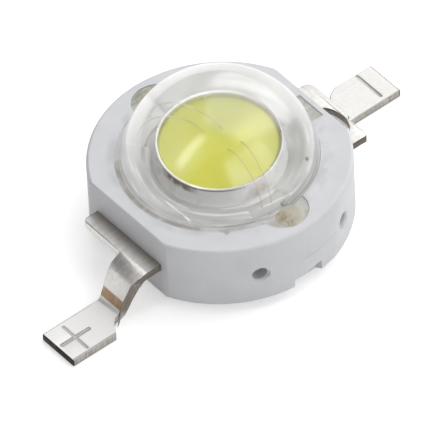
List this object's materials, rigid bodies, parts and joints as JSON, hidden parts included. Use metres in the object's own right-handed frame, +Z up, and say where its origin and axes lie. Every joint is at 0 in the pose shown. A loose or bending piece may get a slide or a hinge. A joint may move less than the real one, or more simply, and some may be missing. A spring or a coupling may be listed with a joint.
{
  "type": "surface-mount led",
  "caption": "Surface-mount power LED with a round white housing, clear domed lens over a phosphor cup, heat slug and two formed tab leads.",
  "frame": {"origin": "middle of the heat slug's underside, which is level with the undersides of both feet and rests on the board", "axes": "+X along the anode lead, +Y across it, +Z up through the middle of the lens"},
  "size_m": [0.0144, 0.008, 0.0053],
  "materials": {
    "housing_resin": "white moulded high-temperature resin, satin",
    "slug_plating": "silver-plated copper",
    "lead_plating": "nickel-plated brass strip, semi-bright",
    "lens_clear": "clear moulded optical plastic",
    "gel": "clear soft silicone",
    "phosphor": "yellow phosphor in silicone",
    "chip": "polished sapphire chip",
    "attach": "silver-filled bond layer",
    "bond_wire": "fine gold wire"
  },
  "bodies": {
    "root": {"housing": "housing_resin", "heat_slug": "slug_plating", "anode_lead": "lead_plating", "cathode_lead": "lead_plating", "lens": "lens_clear", "gel_fill": "gel", "phosphor_fill": "phosphor", "led_chip": "chip", "die_attach": "attach", "bond_wire_1": "bond_wire", "bond_wire_2": "bond_wire", "bond_wire_3": "bond_wire", "bond_wire_4": "bond_wire"}
  },
  "joints": []
}
